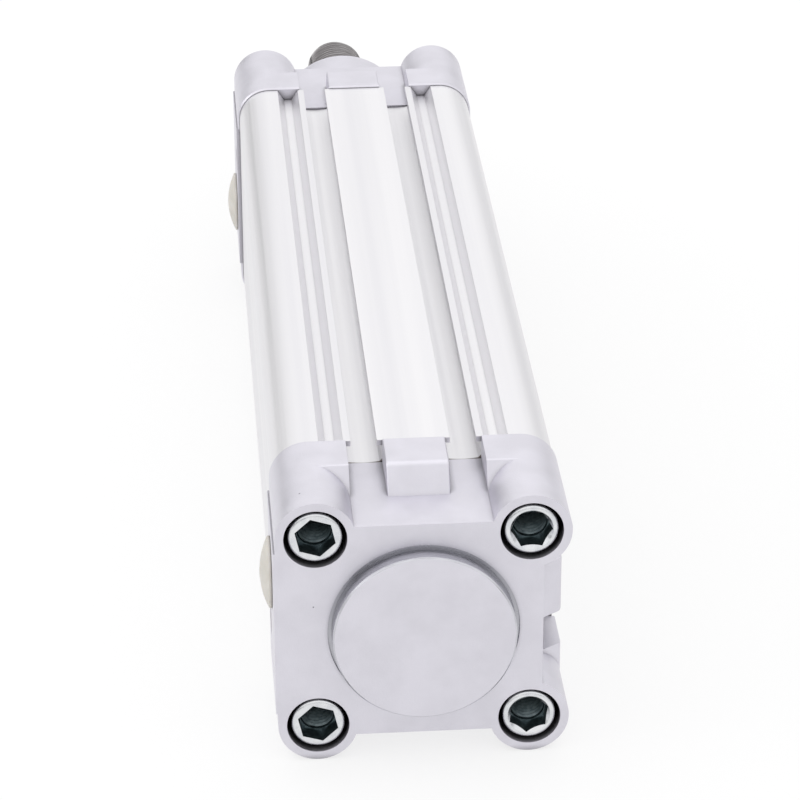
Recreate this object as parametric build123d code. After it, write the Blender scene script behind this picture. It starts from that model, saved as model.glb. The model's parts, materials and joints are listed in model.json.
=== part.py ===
from build123d import *
import os
from math import hypot, sqrt

# A double-acting pneumatic cylinder with a profile barrel, of the ISO 15552 type in bore 50.
# Millimetres. +X runs along the piston rod towards its thread, +Z is up, and the air ports face +Y.
# The origin is the centre of the rear mounting face, and the rod is drawn fully retracted.

# Driving sizes of the cylinder
bore = 50.0
stroke = 160.0
screw_inset = 3.5           # the screws' pitch is this much less than the bore
stop_gap = 0.3              # left between piston and cap at each end of the stroke
static_gap = 0.02           # radial gap where two pieces are fitted and don't move
running_gap = 0.04          # radial gap where one piece slides or turns on another
free_gap = 0.3              # radial gap where pieces pass without touching

# Barrel profile
barrel_corner = 8.15        # outer corner radius, centred on the screw holes
slot_offset = 10.95         # centre of each sensor slot from the middle of its side
slot_mouth = 5.8
slot_width = 8.7            # inside, under the lips
slot_lip = 1.3
slot_floor_width = 7.0
slot_floor_sag = 0.25       # the floor is slightly hollow
slot_shoulder = 0.9         # height of the slanted part beside the floor
slot_wall = 1.76            # aluminium between a slot floor's inner corner and the bore
groove_offset = 18.2        # centre of each plain groove from the middle of its side
groove_mouth = 5.5
groove_floor = 2.0
groove_depth = 2.7

# End caps
cap_length = 29.0
boss_radius = 8.75
deck_rise = 0.3             # the cap's recessed sides lie this much above the slot floors
flange_length = 11.8        # full-height part of the cap next to the barrel
flange_slope = 4.1          # length of the slanted face in front of it
flange_chamfer = 0.35
channel_width = 8.1         # leads a sensor slot out through the flange
pad_rise = 0.4              # the port face stands proud of the bosses
pad_half_width = 20.0
register_length = 11.0      # part of the cap that enters the barrel
pilot_diameter = 40.0
rear_pilot_height = 4.0
pilot_groove_width = 0.9
pilot_groove_depth = 0.6
pilot_chamfer = 0.4
front_pilot_height = 11.5
nose_diameter = 35.5
nose_length = 31.0          # from the front mounting face
nose_chamfer = 0.4

# Air ports, G1/4, set off the centre line on the opposite side from the cushion screw
port_inset = 15.0           # from the mounting face
port_offset = 7.3
port_core_diameter = 11.5
port_thread_depth = 12.5
port_throat_diameter = 9.0

# Cap screws with a hexagon socket and an internal M8 thread
screw_head_diameter = 11.75
screw_recess = 0.7
screw_seat_wall = 7.3       # cap left under the head
screw_bore_gap = 0.98       # radial gap round the head
screw_shank_diameter = 8.0
screw_reach = 16.0          # thread in the barrel
screw_socket_flats = 8.0
screw_socket_depth = 4.2
screw_thread_core = 6.8
screw_thread_depth = 17.0
screw_chamfer = 0.5
shank_clearance = 0.25

# Piston rod
rod_diameter = 20.0
rod_projection = 37.0       # front mounting face to the rod's shoulder
rod_thread_diameter = 16.0
rod_thread_length = 32.0
rod_thread_chamfer = 1.2
rod_relief_width = 2.0
rod_relief_depth = 1.0
rod_shoulder_chamfer = 0.6
rod_flats = 17.0
rod_flats_length = 4.8
rod_centre_diameter = 4.0
rod_centre_depth = 2.6
rod_spigot_diameter = 14.0  # carries the piston and the cushion sleeves
rod_end_thread = 12.0

# Piston
piston_length = 25.4
piston_end_land = 1.6
piston_web = 1.5
seal_groove_width = 5.0
seal_groove_depth = 4.7
guide_groove_depth = 2.1
magnet_wall = 1.0
magnet_thickness = 5.3
magnet_half_width = 2.6
magnet_gap = 0.1
ring_side_gap = 0.1
piston_chamfer = 0.6
piston_ring_section = 2.4

# Cushioning
cushion_diameter = 25.0
rear_cushion_length = 16.0
front_cushion_length = 20.0
cushion_taper_length = 3.0
cushion_taper_depth = 1.2
chamber_gap = 1.0           # radial gap round the sleeve, which the seal closes
chamber_floor = 12.0        # from the mounting face
cushion_seal_gap = 0.1
cushion_seal_width = 4.2
cushion_seal_height = 3.6
cushion_seal_lip = 1.8      # metal left in front of the seal
nut_flats = 18.0
nut_thickness = 6.5
rod_end_stand = 1.3         # rod thread beyond the nut

# Cushion adjusting screws
adjuster_set_back = 6.5     # from the joint with the barrel
adjuster_offset = 9.0
adjuster_diameter = 6.8
adjuster_sink = 1.6         # below the port face
adjuster_head_length = 4.0
adjuster_ring_width = 1.9
adjuster_ring_core = 4.4
adjuster_collar = 1.0
adjuster_thread = 5.0
adjuster_thread_length = 4.4
adjuster_stem_diameter = 3.0
adjuster_stem_length = 3.2
adjuster_tip_length = 3.2
adjuster_tip_diameter = 0.8
adjuster_slot_width = 1.0
adjuster_slot_depth = 1.3
adjuster_travel = 1.4       # room left below the collar, so that the screw can be turned in
passage_diameter = 2.4

# Rod guide and seals in the nose
bush_wall = 2.0
bush_seat = 2.0             # the bush stops this far short of the chamber
wiper_wall = 5.0
wiper_width = 6.0
wiper_lip = 0.8             # the wiping lip stands out of the nose
rod_seal_wall = 4.2
rod_seal_width = 7.0
rod_seal_room = 0.8         # free length of the seal's pocket, so that pressure can spread the seal
seal_web = 1.2

# O-rings between caps and barrel
cap_ring_inset = 4.2        # from the barrel's end
cap_ring_width = 3.4
cap_ring_depth = 2.2

# Port plugs
plug_flange_diameter = 16.0
plug_dome_height = 2.5
plug_rim = 0.6
plug_stub_length = 9.0
plug_wall = 1.2
plug_chamfer = 0.8

# Sizes that follow
bore_radius = bore / 2
screw_pitch = bore - screw_inset
barrel_half = screw_pitch / 2 + barrel_corner
cap_half = screw_pitch / 2 + boss_radius
slot_floor = sqrt((bore_radius + slot_wall) ** 2 - (slot_offset - slot_floor_width / 2) ** 2)
deck = slot_floor + deck_rise
barrel_length = stroke + piston_length + 2 * (register_length + stop_gap)
body_length = barrel_length + 2 * cap_length
register_end = cap_length + register_length
port_face = cap_half + pad_rise
piston_rear = register_end + stop_gap
piston_front = piston_rear + piston_length
piston_middle = (piston_rear + piston_front) / 2
rod_shoulder = body_length + rod_projection
rod_end = rod_shoulder + rod_thread_length
rod_radius = rod_diameter / 2
chamber_radius = cushion_diameter / 2 + chamber_gap
spigot_radius = rod_spigot_diameter / 2
screw_bore = screw_head_diameter / 2 + screw_bore_gap
screw_seat = cap_length - screw_seat_wall
sleeve_rear = piston_rear - rear_cushion_length
sleeve_front = piston_front + front_cushion_length
adjuster_inset = cap_length - adjuster_set_back
adjuster_end = port_face - adjuster_sink
adjuster_ring_top = adjuster_end - adjuster_head_length
adjuster_ring_bottom = adjuster_ring_top - adjuster_ring_width
adjuster_collar_bottom = adjuster_ring_bottom - adjuster_collar
adjuster_thread_bottom = adjuster_collar_bottom - adjuster_thread_length
adjuster_stem_bottom = adjuster_thread_bottom - adjuster_stem_length
adjuster_tip = adjuster_stem_bottom - adjuster_tip_length


def across(x):
    """The plane across the axis at x: its own X is +Y and its own Y is +Z."""
    return Plane(origin=(x, 0, 0), x_dir=(0, 1, 0), z_dir=(1, 0, 0))


def into_port_face(x, z):
    """The plane at x and z whose own Z runs out of the port face, with its own X along the axis."""
    return Plane(origin=(x, 0, z), x_dir=(1, 0, 0), z_dir=(0, 1, 0))


def turned(*section):
    """A body of revolution about the cylinder's axis, from (x, radius) points."""
    return revolve(make_face(Polyline(*section, close=True)), Axis.X)


def ring(start, end, inner, outer):
    """A plain ring on the cylinder's axis."""
    return turned((start, inner), (end, inner), (end, outer), (start, outer))


def disc(start, end, radius):
    """A round bar on the cylinder's axis."""
    return extrude(across(start) * Circle(radius), end - start)


def turned_on(plane, *section):
    """A body of revolution about a plane's own Z, from (radius, height) points."""
    outline = make_face(Plane.XZ * Polyline(*section, close=True))
    return plane.location * revolve(outline, Axis.Z)


def rounded_square(half, corner):
    """The square outline that barrel and caps share."""
    return RectangleRounded(2 * half, 2 * half, corner)


def at_screws(shape):
    """Repeats what is drawn on the cylinder's axis on the axes of the four screws."""
    half = screw_pitch / 2
    return [Pos(0, y, z) * shape for y in (-half, half) for z in (-half, half)]


def on_plain_sides(shape):
    """Repeats what is drawn on the top side on the side opposite the ports and on the bottom."""
    return [Rot(X=turn) * shape for turn in (0, 90, 180)]


def end_for_end(shape):
    """The rear cap's casting turned round about the port direction, so that it faces forwards."""
    return Pos(body_length, 0, 0) * Rot(0, 180, 0) * shape


def sensor_slot_section(side):
    """One T-shaped sensor slot in the top of the profile, to the right or left of the middle."""
    middle = side * slot_offset
    lip_bottom = barrel_half - slot_lip
    shoulder = slot_floor + slot_shoulder
    mouth = slot_mouth / 2
    inside = slot_width / 2
    floor = slot_floor_width / 2
    walls = Polyline(
        (middle - floor, slot_floor),
        (middle - inside, shoulder),
        (middle - inside, lip_bottom),
        (middle - mouth, lip_bottom),
        (middle - mouth, barrel_half + 1),
        (middle + mouth, barrel_half + 1),
        (middle + mouth, lip_bottom),
        (middle + inside, lip_bottom),
        (middle + inside, shoulder),
        (middle + floor, slot_floor),
    )
    hollow = ThreePointArc(
        (middle + floor, slot_floor),
        (middle, slot_floor - slot_floor_sag),
        (middle - floor, slot_floor),
    )
    return make_face(walls + hollow)


def plain_groove_section(side):
    """One shallow groove with slanted walls, between a sensor slot and the corner."""
    middle = side * groove_offset
    spread = (groove_mouth - groove_floor) / 2 / groove_depth
    floor = groove_floor / 2
    rim = floor + spread * (groove_depth + 1)
    outline = Polyline(
        (middle - floor, barrel_half - groove_depth),
        (middle - rim, barrel_half + 1),
        (middle + rim, barrel_half + 1),
        (middle + floor, barrel_half - groove_depth),
        close=True,
    )
    return make_face(outline)


def make_barrel():
    """The extruded profile: round bore, screw holes in the corners, slots on three sides."""
    profile = rounded_square(barrel_half, barrel_corner) - Circle(bore_radius)
    screw_hole = screw_shank_diameter / 2 + static_gap
    profile -= GridLocations(screw_pitch, screw_pitch, 2, 2) * Circle(screw_hole)
    for side in (-1, 1):
        for turn in (0, 90, 180):
            profile -= Rot(Z=turn) * sensor_slot_section(side)
            profile -= Rot(Z=turn) * plain_groove_section(side)
    return extrude(across(cap_length) * profile, barrel_length)


def flange_step():
    """What is taken off the top of the cap in front of its flange, with the slanted face."""
    top = cap_half + 1
    flange_start = cap_length - flange_length
    slope_per_height = flange_slope / (cap_half - deck)
    outline = Polyline(
        (-1, deck),
        (flange_start - flange_slope, deck),
        (flange_start + slope_per_height, top),
        (-1, top),
        close=True,
    )
    return extrude(Plane.XZ * make_face(outline), cap_half + 1, both=True)


def flange_channels():
    """The two channels that lead the sensor slots out through the flange."""
    height = cap_half + 1 - deck
    channel = Pos(cap_length / 2, slot_offset, deck + height / 2) * Box(cap_length + 2, channel_width, height)
    return [channel, mirror(channel, Plane.XZ)]


def make_casting():
    """The casting that both caps share: deck, corner bosses, lugs and fins, and the port face."""
    body = extrude(across(0) * rounded_square(cap_half, boss_radius), cap_length)
    body = chamfer(body.faces().sort_by(Axis.X)[-1].outer_wire().edges(), flange_chamfer)
    body -= on_plain_sides(flange_step())
    body += at_screws(disc(0, cap_length - flange_chamfer, boss_radius))
    for channel in flange_channels():
        body -= on_plain_sides(channel)
    pad_depth = port_face - deck
    pad = Pos(cap_length / 2, deck + pad_depth / 2, 0) * Box(cap_length, pad_depth, 2 * pad_half_width)
    body += pad
    body += disc(cap_length, register_end, bore_radius - static_gap)
    body -= at_screws(disc(-1, screw_seat, screw_bore))
    body -= at_screws(disc(0, cap_length + 1, screw_shank_diameter / 2 + shank_clearance))
    body -= cap_ring_groove()
    body -= cushion_chamber()
    body -= port_drilling()
    body -= adjuster_drilling()
    return body


def cap_ring_groove():
    """The groove round the register for its O-ring."""
    start = cap_length + cap_ring_inset
    floor = bore_radius - cap_ring_depth
    return ring(start, start + cap_ring_width, floor, bore_radius + 1)


def cushion_chamber():
    """The blind chamber that the cushion sleeve enters, with the groove for its seal."""
    chamber = disc(chamber_floor, register_end + 1, chamber_radius)
    groove_end = register_end - cushion_seal_lip
    groove_radius = cushion_diameter / 2 + cushion_seal_gap + cushion_seal_height + static_gap
    return chamber + disc(groove_end - cushion_seal_width, groove_end, groove_radius)


def port_drilling():
    """The threaded air port and the narrower throat below it."""
    throat_end = port_face - port_thread_depth
    plane = into_port_face(port_inset, port_offset)
    core = port_core_diameter / 2
    throat = port_throat_diameter / 2
    return turned_on(
        plane,
        (0, port_offset),
        (throat, port_offset),
        (throat, throat_end),
        (core, throat_end),
        (core, port_face + 1),
        (0, port_face + 1),
    )


def adjuster_drilling():
    """The stepped hole of the cushion screw and the passage from it to the barrel."""
    plane = into_port_face(adjuster_inset, -adjuster_offset)
    head = adjuster_diameter / 2 + running_gap
    thread = adjuster_thread / 2 + running_gap
    passage = passage_diameter / 2
    ledge = adjuster_collar_bottom - adjuster_travel
    thread_end = adjuster_stem_bottom
    bore_down = turned_on(
        plane,
        (0, adjuster_offset),
        (passage, adjuster_offset),
        (passage, thread_end),
        (thread, thread_end),
        (thread, ledge),
        (head, ledge),
        (head, port_face + 1),
        (0, port_face + 1),
    )
    height = (thread_end + adjuster_thread_bottom) / 2
    start = Plane(origin=(adjuster_inset, height, -adjuster_offset), x_dir=(0, 1, 0), z_dir=(1, 0, 0))
    bore_along = extrude(start * Circle(passage), register_end + 1 - adjuster_inset)
    return bore_down + bore_along


def make_rear_cap():
    """The closed cap, with its low round pilot and the turned groove at the pilot's foot."""
    pilot = pilot_diameter / 2
    raised = turned(
        (0, 0),
        (-rear_pilot_height, 0),
        (-rear_pilot_height, pilot - pilot_chamfer),
        (-rear_pilot_height + pilot_chamfer, pilot),
        (1, pilot),
        (1, 0),
    )
    groove = ring(-1, pilot_groove_depth, pilot, pilot + pilot_groove_width)
    return make_casting() - groove + raised


def make_front_cap():
    """The cap at the rod end, with a longer pilot and the nose that holds the rod's bush and seals."""
    pilot = pilot_diameter / 2
    nose = nose_diameter / 2
    step = body_length + front_pilot_height
    tip = body_length + nose_length
    snout = turned(
        (body_length - 1, 0),
        (body_length - 1, pilot),
        (step - pilot_chamfer, pilot),
        (step, pilot - pilot_chamfer),
        (step, nose),
        (tip - nose_chamfer, nose),
        (tip, nose - nose_chamfer),
        (tip, 0),
    )
    chamber_end = body_length - chamber_floor
    bush_radius = rod_radius + running_gap + bush_wall + static_gap
    seal_radius = rod_radius + running_gap + rod_seal_wall + static_gap
    wiper_radius = rod_radius + running_gap + wiper_wall + static_gap
    hollow = turned(
        (chamber_end - 1, 0),
        (chamber_end - 1, bush_radius),
        (bush_end(), bush_radius),
        (bush_end(), rod_radius + free_gap),
        (rod_seal_start(), rod_radius + free_gap),
        (rod_seal_start(), seal_radius),
        (tip - wiper_width, seal_radius),
        (tip - wiper_width, wiper_radius),
        (tip + 1, wiper_radius),
        (tip + 1, 0),
    )
    return end_for_end(make_casting()) + snout - hollow


def bush_start():
    """Where the rod's bush begins, just inside the chamber's end wall."""
    return body_length - chamber_floor + bush_seat


def rod_seal_start():
    """Where the pocket of the rod seal begins, which ends at the wiper's pocket in the nose."""
    return body_length + nose_length - wiper_width - rod_seal_room - rod_seal_width


def bush_end():
    """Where the rod's bush ends, at the wall between it and the seal's pocket."""
    return rod_seal_start() - seal_web


def make_cap_screws():
    """Four socket head screws at the rear, whose heads carry the mounting thread."""
    head = screw_head_diameter / 2
    core = screw_thread_core / 2
    shank = screw_shank_diameter / 2
    end = cap_length + screw_reach
    thread_end = screw_recess + screw_thread_depth
    one = turned(
        (screw_recess, 0),
        (screw_recess, head - screw_chamfer),
        (screw_recess + screw_chamfer, head),
        (screw_seat, head),
        (screw_seat, shank),
        (end - 2 * screw_chamfer, shank),
        (end, shank - 2 * screw_chamfer),
        (end, 0),
    )
    socket = RegularPolygon(screw_socket_flats / 2, 6, major_radius=False)
    one -= extrude(across(screw_recess) * socket, screw_socket_depth)
    one -= turned((screw_recess, 0), (screw_recess, core), (thread_end, core), (thread_end + core / 2, 0))
    return Compound(at_screws(one))


def make_cap_ring():
    """The O-ring that seals the rear cap in the barrel, squeezed flat on its two sides."""
    start = cap_length + cap_ring_inset
    inner = bore_radius - cap_ring_depth + static_gap
    outer = bore_radius - static_gap
    round_off = (outer - inner) / 4
    return turned(
        (start + round_off, inner),
        (start + cap_ring_width - round_off, inner),
        (start + cap_ring_width - static_gap, inner + round_off),
        (start + cap_ring_width - static_gap, outer - round_off),
        (start + cap_ring_width - round_off, outer),
        (start + round_off, outer),
        (start + static_gap, outer - round_off),
        (start + static_gap, inner + round_off),
    )


def make_cushion_seal():
    """The lip seal at the mouth of the rear cushion chamber."""
    end = register_end - cushion_seal_lip - static_gap
    start = end - cushion_seal_width + 2 * static_gap
    inner = cushion_diameter / 2 + cushion_seal_gap
    outer = inner + cushion_seal_height
    lip = cushion_seal_height / 4
    return turned(
        (start, inner + lip),
        (start + 2 * lip, inner),
        (end, inner),
        (end, outer),
        (start, outer),
        (start, outer - lip),
        (start + lip, inner + 2 * lip),
    )


def make_bush():
    """The plain bearing that guides the rod."""
    inner = rod_radius + running_gap
    return ring(bush_start(), bush_end(), inner, inner + bush_wall)


def make_rod_seal():
    """The U-shaped seal behind the wiper, open towards the pressure."""
    start = rod_seal_start() + static_gap
    end = start + rod_seal_width - 2 * static_gap
    inner = rod_radius + running_gap
    outer = inner + rod_seal_wall
    lip = rod_seal_wall / 4
    return turned(
        (start, inner + lip),
        (start + lip, inner),
        (end, inner),
        (end, outer),
        (start, outer),
        (start, outer - lip),
        (start + 2 * lip, outer - 2 * lip),
    )


def make_wiper():
    """The wiper in the mouth of the nose, with its lip standing out towards the rod's end."""
    tip = body_length + nose_length
    start = tip - wiper_width + static_gap
    inner = rod_radius + running_gap
    outer = inner + wiper_wall
    third = wiper_wall / 3
    return turned(
        (start, inner + third),
        (tip - third, inner + third),
        (tip + wiper_lip - third / 2, inner),
        (tip + wiper_lip, inner),
        (tip + wiper_lip, inner + third / 3),
        (tip, inner + 2 * third),
        (tip - static_gap, outer),
        (start, outer),
    )


def make_rod():
    """The piston rod: male thread, wrench flats, polished shank and the spigot for the piston."""
    spigot = spigot_radius
    end_thread = rod_end_thread / 2
    rear_end = sleeve_rear - nut_thickness - rod_end_stand
    thread = rod_thread_diameter / 2
    groove = spigot - piston_ring_section / 2
    ring_start = piston_middle - piston_ring_section / 2
    ring_end = piston_middle + piston_ring_section / 2
    rod = turned(
        (rear_end, 0),
        (rear_end, end_thread - 1),
        (rear_end + 1, end_thread),
        (sleeve_rear + 0.5, end_thread),
        (sleeve_rear + 0.5, spigot),
        (ring_start, spigot),
        (ring_start, groove),
        (ring_end, groove),
        (ring_end, spigot),
        (sleeve_front, spigot),
        (sleeve_front, rod_radius - rod_shoulder_chamfer),
        (sleeve_front + rod_shoulder_chamfer, rod_radius),
        (rod_shoulder - rod_shoulder_chamfer, rod_radius),
        (rod_shoulder, rod_radius - rod_shoulder_chamfer),
        (rod_shoulder, thread - rod_relief_depth),
        (rod_shoulder + rod_relief_width, thread - rod_relief_depth),
        (rod_shoulder + rod_relief_width + rod_relief_depth, thread),
        (rod_end - rod_thread_chamfer, thread),
        (rod_end, thread - rod_thread_chamfer),
        (rod_end, rod_centre_diameter / 2),
        (rod_end - rod_centre_depth, 0),
    )
    flat_depth = rod_radius - rod_flats / 2 + 1
    flat_middle = rod_flats / 2 + flat_depth / 2
    flat = Box(rod_flats_length + 1, 2 * rod_radius, flat_depth)
    flat_x = rod_shoulder - rod_flats_length + (rod_flats_length + 1) / 2
    for side in (-1, 1):
        rod -= Pos(flat_x, 0, side * flat_middle) * flat
    return rod


def half_piston(outer_end, direction):
    """One half of the piston, drawn from its outer end face towards the joint in the middle."""
    outer = bore_radius - free_gap
    seal_floor = outer - seal_groove_depth
    guide_floor = outer - guide_groove_depth
    magnet_outer = guide_floor - magnet_wall
    magnet_inner = magnet_outer - magnet_thickness
    seal_end = piston_end_land + seal_groove_width
    guide_start = seal_end + piston_web
    middle = piston_length / 2
    pocket = middle - magnet_half_width
    section = (
        (0, spigot_radius + static_gap),
        (0, outer - piston_chamfer),
        (piston_chamfer, outer),
        (piston_end_land, outer),
        (piston_end_land, seal_floor),
        (seal_end, seal_floor),
        (seal_end, outer),
        (guide_start, outer),
        (guide_start, guide_floor),
        (middle, guide_floor),
        (middle, magnet_outer),
        (pocket, magnet_outer),
        (pocket, magnet_inner),
        (middle, magnet_inner),
        (middle, spigot_radius + static_gap),
    )
    return turned(*[(outer_end + direction * x, radius) for x, radius in section])


def make_magnet():
    """The ring magnet in the pocket between the piston's halves."""
    outer = bore_radius - free_gap - guide_groove_depth - magnet_wall - magnet_gap
    inner = outer - magnet_thickness + 2 * magnet_gap
    half = magnet_half_width - magnet_gap
    return ring(piston_middle - half, piston_middle + half, inner, outer)


def make_guide_ring():
    """The plastic band that guides the piston in the bore, cut through so that it can be fitted."""
    half = piston_length / 2 - piston_end_land - seal_groove_width - piston_web - ring_side_gap
    inner = bore_radius - free_gap - guide_groove_depth + running_gap
    band = ring(piston_middle - half, piston_middle + half, inner, bore_radius - running_gap)
    cut = Pos(piston_middle, 0, bore_radius) * Rot(Z=30) * Box(4 * half, 1, 2 * guide_groove_depth + 2)
    return band - cut


def piston_lip_seal(outer_end, direction):
    """A lip seal in the piston, with its lip towards the outer end face."""
    outer = bore_radius - running_gap
    inner = bore_radius - free_gap - seal_groove_depth + running_gap
    start = piston_end_land + ring_side_gap
    end = start + seal_groove_width - 2 * ring_side_gap
    height = outer - inner
    section = (
        (start, inner),
        (end, inner),
        (end, outer - height / 8),
        (end - height / 3, outer - height / 8),
        (start + height / 4, outer),
        (start, outer - height / 6),
        (start + height / 2, inner + height / 2),
        (start, inner + height / 3),
    )
    return turned(*[(outer_end + direction * x, radius) for x, radius in section])


def make_piston_ring():
    """The O-ring that seals the piston on the rod."""
    half = piston_ring_section / 2 - static_gap
    inner = spigot_radius - piston_ring_section / 2 + static_gap
    return ring(piston_middle - half, piston_middle + half, inner, spigot_radius)


def cushion_sleeve(start, end, tapered_at):
    """A cushion sleeve on the rod's spigot, tapered at its free end."""
    outer = cushion_diameter / 2
    inner = spigot_radius + static_gap
    slim = outer - cushion_taper_depth
    if tapered_at == start:
        corner = ((start, slim), (start + cushion_taper_length, outer), (end, outer))
    else:
        corner = ((start, outer), (end - cushion_taper_length, outer), (end, slim))
    return turned((start, inner), *corner, (end, inner))


def make_nut():
    """The nut that clamps sleeves and piston against the rod's shoulder."""
    blank = RegularPolygon(nut_flats / 2, 6, major_radius=False) - Circle(rod_end_thread / 2 + static_gap)
    return extrude(across(sleeve_rear - nut_thickness) * blank, nut_thickness)


def make_adjuster():
    """The rear cushion screw: slotted head, groove for its O-ring, thread, stem and tapered tip."""
    head = adjuster_diameter / 2
    core = adjuster_ring_core / 2
    thread = adjuster_thread / 2
    stem = adjuster_stem_diameter / 2
    chamfer_size = adjuster_collar / 3
    plane = into_port_face(adjuster_inset, -adjuster_offset)
    screw = turned_on(
        plane,
        (0, adjuster_end),
        (head - chamfer_size, adjuster_end),
        (head, adjuster_end - chamfer_size),
        (head, adjuster_ring_top),
        (core, adjuster_ring_top),
        (core, adjuster_ring_bottom),
        (head, adjuster_ring_bottom),
        (head, adjuster_collar_bottom),
        (thread, adjuster_collar_bottom),
        (thread, adjuster_thread_bottom),
        (stem, adjuster_thread_bottom),
        (passage_diameter / 2 - running_gap, adjuster_stem_bottom + adjuster_travel),
        (adjuster_tip_diameter / 2, adjuster_tip),
        (0, adjuster_tip),
    )
    slot = Box(adjuster_diameter + 1, adjuster_slot_width, 2 * adjuster_slot_depth)
    slot_place = Plane(origin=(adjuster_inset, adjuster_end, -adjuster_offset), x_dir=(1, 0, 1), z_dir=(0, 1, 0))
    return screw - slot_place.location * slot


def make_adjuster_ring():
    """The O-ring in the rear cushion screw's groove."""
    plane = into_port_face(adjuster_inset, -adjuster_offset)
    inner = adjuster_ring_core / 2 + running_gap
    outer = adjuster_diameter / 2
    top = adjuster_ring_top - running_gap
    bottom = adjuster_ring_bottom + running_gap
    round_off = (outer - inner) / 4
    return turned_on(
        plane,
        (inner, bottom),
        (outer - round_off, bottom),
        (outer, bottom + round_off),
        (outer, top - round_off),
        (outer - round_off, top),
        (inner, top),
    )


def make_port_plug():
    """The rear port's transport plug: a domed flange on a hollow stub."""
    plane = into_port_face(port_inset, port_offset)
    flange = plug_flange_diameter / 2
    stub = port_core_diameter / 2 - running_gap
    hollow = stub - plug_wall
    seat = port_face + static_gap
    dome = plug_dome_height - plug_rim
    dome_radius = (flange ** 2 + dome ** 2) / (2 * dome)
    bulge = hypot(dome_radius, 0) - sqrt(dome_radius ** 2 - (flange / 2) ** 2)
    end = port_face - plug_stub_length
    cap_line = ThreePointArc(
        (flange, seat + plug_rim),
        (flange / 2, seat + plug_dome_height - bulge),
        (0, seat + plug_dome_height),
    )
    walls = Polyline(
        (0, seat + plug_dome_height),
        (0, seat - plug_wall),
        (hollow, seat - plug_wall),
        (hollow, end),
        (stub - plug_chamfer, end),
        (stub, end + plug_chamfer),
        (stub, seat),
        (flange, seat),
        (flange, seat + plug_rim),
    )
    return plane.location * revolve(make_face(Plane.XZ * (cap_line + walls)), Axis.Z)


def make_parts():
    """Every piece of the cylinder, by the name of its node."""
    rear_screws = make_cap_screws()
    cap_ring = make_cap_ring()
    cushion_seal = make_cushion_seal()
    adjuster = make_adjuster()
    adjuster_ring = make_adjuster_ring()
    port_plug = make_port_plug()
    return {
        "barrel": make_barrel(),
        "rear_cap": make_rear_cap(),
        "front_cap": make_front_cap(),
        "rear_cap_screws": rear_screws,
        "front_cap_screws": end_for_end(rear_screws),
        "rear_cap_o_ring": cap_ring,
        "front_cap_o_ring": end_for_end(cap_ring),
        "rear_cushion_seal": cushion_seal,
        "front_cushion_seal": end_for_end(cushion_seal),
        "rod_bush": make_bush(),
        "rod_seal": make_rod_seal(),
        "rod_wiper": make_wiper(),
        "piston_rod": make_rod(),
        "piston_rear_half": half_piston(piston_rear, 1),
        "piston_front_half": half_piston(piston_front, -1),
        "piston_magnet": make_magnet(),
        "piston_o_ring": make_piston_ring(),
        "piston_lock_nut": make_nut(),
        "rear_cushion_sleeve": cushion_sleeve(sleeve_rear, piston_rear, sleeve_rear),
        "front_cushion_sleeve": cushion_sleeve(piston_front, sleeve_front, sleeve_front),
        "piston_guide_ring": make_guide_ring(),
        "rear_piston_seal": piston_lip_seal(piston_rear, 1),
        "front_piston_seal": piston_lip_seal(piston_front, -1),
        "rear_cushion_screw": adjuster,
        "front_cushion_screw": end_for_end(adjuster),
        "rear_cushion_screw_o_ring": adjuster_ring,
        "front_cushion_screw_o_ring": end_for_end(adjuster_ring),
        "rear_port_plug": port_plug,
        "front_port_plug": end_for_end(port_plug),
    }


def main():
    os.makedirs("parts", exist_ok=True)
    for name, shape in make_parts().items():
        export_step(shape, f"parts/{name}.step")
    print(f"body {body_length:.1f} mm, screw pitch {screw_pitch:.1f} mm, rod end at {rod_end:.1f} mm")


main()
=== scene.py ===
# %% [markdown]
# # A pneumatic cylinder, dressed in Blender
# The cylinder comes from CAD as a set of plain solids. This lesson loads them, models the pieces that show
# again with finer edges and real threads, gives every piece its metal, plastic or rubber, and lights it.

# %% Load the CAD model
import json
import math

import bmesh
import bpy
from mathutils import Matrix, Vector

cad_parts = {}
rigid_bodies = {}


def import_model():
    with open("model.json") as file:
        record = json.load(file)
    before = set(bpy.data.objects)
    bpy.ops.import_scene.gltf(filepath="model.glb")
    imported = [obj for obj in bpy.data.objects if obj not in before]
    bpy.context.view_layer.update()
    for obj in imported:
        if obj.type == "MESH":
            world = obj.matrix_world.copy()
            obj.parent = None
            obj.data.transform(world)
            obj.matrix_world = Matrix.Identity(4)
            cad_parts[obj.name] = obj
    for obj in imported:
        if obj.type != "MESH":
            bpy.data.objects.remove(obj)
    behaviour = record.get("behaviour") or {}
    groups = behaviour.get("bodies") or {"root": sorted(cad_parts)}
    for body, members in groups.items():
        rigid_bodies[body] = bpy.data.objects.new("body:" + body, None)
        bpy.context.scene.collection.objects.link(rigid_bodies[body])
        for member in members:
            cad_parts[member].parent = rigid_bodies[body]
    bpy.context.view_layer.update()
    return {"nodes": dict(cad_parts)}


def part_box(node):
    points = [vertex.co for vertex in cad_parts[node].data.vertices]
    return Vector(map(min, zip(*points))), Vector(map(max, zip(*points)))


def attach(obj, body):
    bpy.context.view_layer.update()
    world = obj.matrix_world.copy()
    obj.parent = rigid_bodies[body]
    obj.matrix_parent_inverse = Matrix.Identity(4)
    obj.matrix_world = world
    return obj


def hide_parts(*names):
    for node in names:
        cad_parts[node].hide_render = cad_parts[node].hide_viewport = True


for thing in list(bpy.data.objects):
    bpy.data.objects.remove(thing)
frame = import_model()
nodes = frame["nodes"]

# %% [markdown]
# ## The camera
# The photograph looks along the cylinder from behind and above, from about 0.8 m away, with a long lens. A
# camera in Blender looks along its own -Z, so its matrix is built from three directions: right, up and back.

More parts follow.
